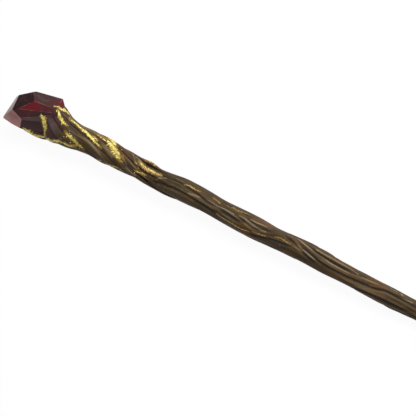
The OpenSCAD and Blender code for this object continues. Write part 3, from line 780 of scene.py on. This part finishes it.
def makeLeaf(name, streaks, replaced, seed):
    patches = []
    for n, (width, broken, points) in enumerate(streaks):
        ownSeed, fleckSeed = seed + leaf.seedStep * n, seed + leaf.fleckSeed + leaf.fleckSeedStep * n
        patches.append(leafPatch(width, broken, points, ownSeed, leaf.alongStep, leaf.acrossCells))
        patches += fleckPatches(width, points, fleckSeed)
    lofts, rims, ages = zip(*patches)
    looks = {"rim": np.concatenate([rim.ravel() for rim in rims]),
             "aged": np.concatenate([age.ravel() for age in ages])}
    return addPiece(name, lofts, looks, replaced, sharpTurn=leaf.sharpTurn)


carvedShaft = makeShaft()
rootPieces = [makeRoot(k) for k in range(rootCount)]
leafPieces = [makeLeaf("leafClaws", clawGold, "gold_leaf_claws", seed=100),
              makeLeaf("leafRoots", rootGold, "gold_leaf_roots", seed=2000),
              makeLeaf("leafShaft", shaftGold, "gold_leaf_shaft", seed=4000)]


# Materials

def pairOf(operation):  # an operator and its reflected form
    return (lambda level, other: level.worked(operation, level, other),
            lambda level, other: level.worked(operation, other, level))


class Level:
    # a shader value that can be written in sums
    def __init__(self, finish, socket):
        self.finish, self.socket = finish, socket

    def worked(self, operation, *items):
        return self.finish.node("ShaderNodeMath", {"operation": operation}, dict(enumerate(items)))

    __add__, __radd__ = pairOf("ADD")
    __sub__, __rsub__ = pairOf("SUBTRACT")
    __mul__, __rmul__ = pairOf("MULTIPLY")
    __truediv__, __rtruediv__ = pairOf("DIVIDE")
    __pow__, __rpow__ = pairOf("POWER")

    def line(self, base, slope):  # base where this is 0, rising by slope where it is 1
        return base + slope * self

    def between(self, low, high):  # 0 at low, 1 at high, an S curve between
        return self.finish.node("ShaderNodeMapRange", {"interpolation_type": "SMOOTHSTEP"},
                                {"Value": self, "From Min": low, "From Max": high})


class Finish:
    # one procedural material, or the world
    def __init__(self, name, kind="materials", shader="Principled BSDF"):
        self.block = getattr(bpy.data, kind).new(name)
        self.block.use_nodes = True
        self.tree = self.block.node_tree
        self.shader = self.tree.nodes[shader]

    def put(self, socket, value):
        if isinstance(value, Level):
            self.tree.links.new(value.socket, socket)
        else:
            socket.default_value = value

    def node(self, kind, settings, values, output=0):
        made = self.tree.nodes.new(kind)
        for key, value in settings.items():
            setattr(made, key, value)
        for key, value in values.items():
            self.put(made.inputs[key], value)
        return Level(self, made.outputs[output])

    def attribute(self, name, output="Fac"):
        return self.node("ShaderNodeAttribute", {"attribute_name": name}, {}, output)

    def places(self):
        return self.node("ShaderNodeTexCoord", {}, {}, "Object")

    def noise(self, vector, scale, detail=4, roughness=0.55, distortion=0.0):
        return self.node("ShaderNodeTexNoise", {}, {"Vector": vector, "Scale": scale, "Detail": detail,
                                                    "Roughness": roughness, "Distortion": distortion}, "Fac")

    def blend(self, factor, first, second):
        return self.node("ShaderNodeMix", {"data_type": "RGBA"}, {0: factor, 6: first, 7: second}, 2)

    def bump(self, height, strength, distance):
        return self.node("ShaderNodeBump", {}, {"Height": height, "Strength": strength, "Distance": distance})

    def set(self, **values):  # sockets of the surface, named without their blanks
        names = {socket.name.replace(" ", ""): socket for socket in self.shader.inputs}
        for key, value in values.items():
            self.put(names[key], value)
        return self.block


def tintsOf(paint):
    return Settings({name: fromScreen(*colour) for name, colour in paint.tints.items()})


barkPaint = Settings(
    tints={"dark": (45, 34, 18), "brown": (80, 61, 33), "warm": (92, 62, 28), "rubbed": (120, 100, 70),
           "polished": (150, 132, 106), "cut": (32, 27, 18), "maroon": (66, 42, 42), "smoke": (92, 80, 82),
           "gold": (150, 116, 52)},
    streak=(1.6, 5, 0.6), thread=(6.5, 4, 0.6), cloud=(55, 3),  # noise: scale, detail, roughness
    # from where to where each change runs, and how much of it shows
    woodBand=(0.3, 0.7), warmBand=(0.46, 0.66), warmShare=0.6, paleBand=(0.5, 1.5),
    rubbedBand=(0.16, 0.55), rubbedShare=0.72, cutBand=(0.05, 0.75), cutThread=(-0.17, 0.35),
    stainShare=0.9, smokeShare=0.8,
    giltShare=1.2, giltThread=0.9, dustBand=(0.15, 0.55), dustShare=0.7, dustMetal=0.4,
    roughness=(0.435, 0.25), gloss=0.16, bump=(0.5, 0.6 * mm),
)


def barkFinish():
    # brown paint on carved grain: painted shade in the cuts, painted highlights on the ridges, maroon towards
    # the stone, with a painted grey sheen patch on one root, and gold dust beside the leaf
    f = Finish("carvedBark")
    paint, tint = barkPaint, tintsOf(barkPaint)
    flow = f.attribute("flow", "Vector")
    paintedShade, ridge = f.attribute("paintedShade"), f.attribute("ridge")
    fibre, thread = f.noise(flow, *paint.streak), f.noise(flow, *paint.thread)
    cloud = f.noise(f.places(), *paint.cloud)
    wood = f.blend(fibre.between(*paint.woodBand), tint.dark, tint.brown)
    warm = f.blend(cloud.between(*paint.warmBand) * paint.warmShare, wood, tint.warm)
    # painted highlights on ridges, lips and crests
    pale = f.blend(ridge.between(*paint.paleBand), tint.rubbed, tint.polished)
    rubbed = f.blend((ridge * thread).between(*paint.rubbedBand) * paint.rubbedShare, warm, pale)
    # painted shade in the cuts, creases and low fibre, and along the under side
    depth = paintedShade + thread.line(*paint.cutThread)
    cut = f.blend(depth.between(*paint.cutBand), rubbed, tint.cut)
    stained = f.blend(f.attribute("stain") * paint.stainShare, cut, tint.maroon)
    # painted grey sheen patch on one root
    sheened = f.blend(f.attribute("smoke") * paint.smokeShare, stained, tint.smoke)
    gilt = f.attribute("gilt") * paint.giltShare - thread * paint.giltThread
    dust = gilt.between(*paint.dustBand) * paint.dustShare
    return f.set(BaseColor=f.blend(dust, sheened, tint.gold), Roughness=thread.line(*paint.roughness),
                 Metallic=dust * paint.dustMetal, SpecularIORLevel=paint.gloss,
                 Normal=f.bump((thread + fibre) / 2, *paint.bump))


resin = Settings(
    tints={"smoke": (44, 22, 24), "haze": (132, 112, 114), "red": (104, 8, 16), "edge": (172, 128, 128)},
    # painted red light inside: place along, distance from the axis and turn, then its size and its strength
    glows=[((-17, 11, 4), 7.5, 1.0), ((-3, 12.5, -38), 6.0, 1.0), ((-27, 9, 58), 6.0, 1.0),
           ((-20, 11, 32), 5.0, 0.8)],
    glowLeft=0.37,  # what is left of a glow at the edge of its size
    glowCloud=(0.75, 0.5), glowBand=(0.1, 1.0), redShare=0.6,
    cloud=(90, 4, 0.6), smudge=(190, 5, 0.65, 0.8),  # noise: scale, detail, roughness, distortion
    # dark smoke in the resin at random, then painted grey reflections in smudges
    smokeBand=(0.35, 0.7), smokeShare=0.4, hazeBand=(0.52, 0.75), hazeShare=(0.08, 0.3),
    # painted highlights on the softened edges
    edgeBand=(0.4, 0.6), edgePaleness=0.42,
    roughness=(0.1, 0.12), refraction=1.5, gloss=0.12, bump=(0.12, 1 * mm),
)


def resinFinish(name, highlightShare):
    # clear dark red resin: each facet has its own tone with painted reflection and painted shade, and painted
    # red light deep inside behind a few of them
    f = Finish(name)
    tint = tintsOf(resin)
    tone, share = f.attribute("tone", "Color"), f.attribute("tone", "Alpha")
    glow = 0
    for spot, size, strength in resin.glows:
        centre = tuple(wandPoint(*np.array(spot, float)))
        away = f.node("ShaderNodeVectorMath", {"operation": "DISTANCE"}, {0: f.places(), 1: centre}, "Value")
        glow = glow + strength * (resin.glowLeft ** ((away / (size * mm)) ** 2))
    cloud, smudge = f.noise(f.places(), *resin.cloud), f.noise(f.places(), *resin.smudge)
    smoky = f.blend(cloud.between(*resin.smokeBand) * resin.smokeShare, tone, tint.smoke)
    # painted grey reflections in smudges, stronger on facets with more glow
    haze = smudge.between(*resin.hazeBand) * share.line(*resin.hazeShare)
    withReflection = f.blend(haze, smoky, tint.haze)
    deep = (glow * share * cloud.line(*resin.glowCloud)).between(*resin.glowBand)
    lit = f.blend(deep, withReflection, f.blend(resin.redShare, tone, tint.red))
    # painted highlights on the softened edges
    colour = f.blend(smudge.between(*resin.edgeBand) * highlightShare, lit, tint.edge)
    return f.set(BaseColor=colour, Roughness=cloud.line(*resin.roughness), IOR=resin.refraction,
                 SpecularIORLevel=resin.gloss, Normal=f.bump(cloud, *resin.bump))


goldPaint = Settings(
    tints={"lemon": (214, 198, 92), "lemonGleam": (244, 236, 168), "lemonThin": (140, 114, 34),
           "ochre": (188, 162, 86), "ochreGleam": (208, 186, 116), "ochreThin": (118, 86, 36),
           "dull": (168, 140, 74), "dullThin": (112, 84, 38), "worn": (112, 84, 36)},
    # noise: scale, detail, roughness
    grit=(900, 4, 0.65), blotch=(330, 5, 0.7), speck=(520, 3, 0.6),
    rimShare=0.3, wornBand=(0.6, 0.82), thinBand=(0.45, 0.75), gleamBand=(0.5, 0.66),
    metal=(0.3, -0.25), roughness=(0.36, 0.25), bump=(0.8, 0.6 * mm),
)


def goldFinish():
    # thick gold paint: lemon near the stone, ochre farther on, dull at last, brown where it is thin
    f = Finish("goldLeaf")
    paint, tint = goldPaint, tintsOf(goldPaint)
    grit, blotch, speck = (f.noise(f.places(), *paint[key]) for key in ("grit", "blotch", "speck"))
    rim, aged = paint.rimShare * f.attribute("rim"), f.attribute("aged")
    worn = (blotch + rim).between(*paint.wornBand)
    thin = (grit + rim).between(*paint.thinBand)
    # painted highlights in the middle of the strokes
    gleam = (speck - rim).between(*paint.gleamBand)
    lemon = f.blend(thin, f.blend(gleam, tint.lemon, tint.lemonGleam), tint.lemonThin)
    ochre = f.blend(thin, f.blend(gleam, tint.ochre, tint.ochreGleam), tint.ochreThin)
    dull = f.blend(thin, tint.dull, tint.dullThin)
    fresh = f.blend(aged.between(0, 1), lemon, ochre)
    colour = f.blend(worn, f.blend((aged - 1).between(0, 1), fresh, dull), tint.worn)
    return f.set(BaseColor=colour, Metallic=worn.line(*paint.metal),
                 Roughness=worn.line(*paint.roughness), Normal=f.bump(grit, *paint.bump))


pins = Settings(
    brass=((150, 112, 50), (212, 172, 92)), steel=((120, 120, 124), (186, 186, 190)),
    stretch=(60, 2600, 2600), lines=(1, 3), roughness=(0.28, 0.2),  # drawn lines along the wand
)


def metalFinish(name, metal):
    # drawn metal with fine lines along it
    f = Finish(name)
    dark, light = (fromScreen(*colour) for colour in pins[metal])
    drawn = f.node("ShaderNodeMapping", {}, {"Vector": f.places(), "Scale": pins.stretch})
    lines = f.noise(drawn, *pins.lines)
    return f.set(BaseColor=f.blend(lines, dark, light), Metallic=1.0,
                 Roughness=lines.line(*pins.roughness))


def coat(piece, *materials):
    piece.data.materials.clear()
    for material in materials:
        piece.data.materials.append(material)


bark = barkFinish()
for piece in [carvedShaft, *rootPieces]:
    coat(piece, bark)
coat(cutStone, resinFinish("redResin", 0.0), resinFinish("redResinEdgeHighlight", resin.edgePaleness))
gold = goldFinish()
for piece in leafPieces:
    coat(piece, gold)
coat(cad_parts["stone_peg"], metalFinish("brassPeg", "brass"))
coat(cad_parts["core_rod"], metalFinish("steelRod", "steel"))
print("materials set")


# Floor, lamps and camera

stage = Settings(
    azimuth=28.4, elevation=70,  # the photograph's viewing angle, degrees
    lens=200, sensor=36,  # millimetres
    pixels=416, pixelSize=0.62,  # the image's width, and the object's millimetres in one pixel
    seatPixel=(56.57, 124.87),  # where the seat shows in the image
    floorHalf=12.0, floorTone=0.65, floorRoughness=0.9,
    floorWhite=1.03, floorShare=0.92,  # its own white, and the share of it that is seen
    skyLight=0.33,  # the world's light on the object
    # lamps: direction, distance and size in metres, watts
    keyCard=((-0.02, 0.41, 0.91), 0.9, 0.4, 7.0),
    rimCard=((0.1, 1.0, 0.3), 0.9, 0.3, 1.5),
)


def aim(thing, place, target):  # looks from place to target along its own -Z
    thing.location = place
    thing.rotation_mode = "QUATERNION"
    thing.rotation_quaternion = (Vector(target) - Vector(place)).to_track_quat("-Z", "Y")


def makeCamera():
    a, e = radians(stage.azimuth), radians(stage.elevation)
    back = np.array([sin(a) * cos(e), -cos(a) * cos(e), sin(e)])  # towards the viewer
    right = np.array([cos(a), sin(a), 0])
    upward = np.cross(back, right)
    offX, offY = (pixel - stage.pixels / 2 for pixel in stage.seatPixel)
    centre = (seat - (offX * right - offY * upward) * stage.pixelSize) * mm
    field = stage.pixels * stage.pixelSize * mm
    distance = field * stage.lens / stage.sensor
    camera = newObject("camera", bpy.data.cameras.new("camera"))
    camera.data.lens, camera.data.sensor_width = stage.lens, stage.sensor
    aim(camera, centre + back * distance, centre)
    bpy.context.scene.camera = camera
    return centre


def seenRays(f):  # 1 for a ray from the camera, a reflection or a clear surface, 0 for light
    camera, glossy, through = (f.node("ShaderNodeLightPath", {}, {}, f"Is {kind} Ray")
                               for kind in ("Camera", "Glossy", "Transmission"))
    return camera.worked("MAXIMUM", camera.worked("MAXIMUM", camera, glossy), through)


def makeFloor():
    h, tone = stage.floorHalf, stage.floorTone
    mesh = bpy.data.meshes.new("floor")
    mesh.from_pydata([(-h, -h, 0), (h, -h, 0), (h, h, 0), (-h, h, 0)], [], [(0, 1, 2, 3)])
    floor = newObject("floor", mesh)
    f = Finish("paleFloor")
    f.set(BaseColor=(tone, tone, tone, 1), Roughness=stage.floorRoughness, SpecularIORLevel=0.0)
    lit = Level(f, f.shader.outputs[0])
    white = f.node("ShaderNodeEmission", {}, {"Color": (1, 1, 1, 1), "Strength": stage.floorWhite})
    shown = f.node("ShaderNodeMixShader", {}, {0: seenRays(f) * stage.floorShare, 1: lit, 2: white})
    f.put(f.tree.nodes["Material Output"].inputs["Surface"], shown)
    coat(floor, f.block)


def makeLamp(name, target):
    direction, distance, size, watts = stage[name]
    lamp = newObject(name, bpy.data.lights.new(name, "AREA"))
    lamp.data.size, lamp.data.energy = size, watts
    unit = np.array(direction) / np.linalg.norm(direction)
    aim(lamp, target + unit * distance, target)


def makeWorld():  # lights the object at its plain level, and shows white
    f = Finish("studio", "worlds", "Background")
    strength = seenRays(f).line(stage.skyLight, 1 - stage.skyLight)
    bpy.context.scene.world = f.set(Color=(1, 1, 1, 1), Strength=strength)


centre = makeCamera()
makeFloor()
makeWorld()
makeLamp("keyCard", centre)
makeLamp("rimCard", centre)
bpy.context.scene.view_settings.view_transform = "Standard"
print("stage set")
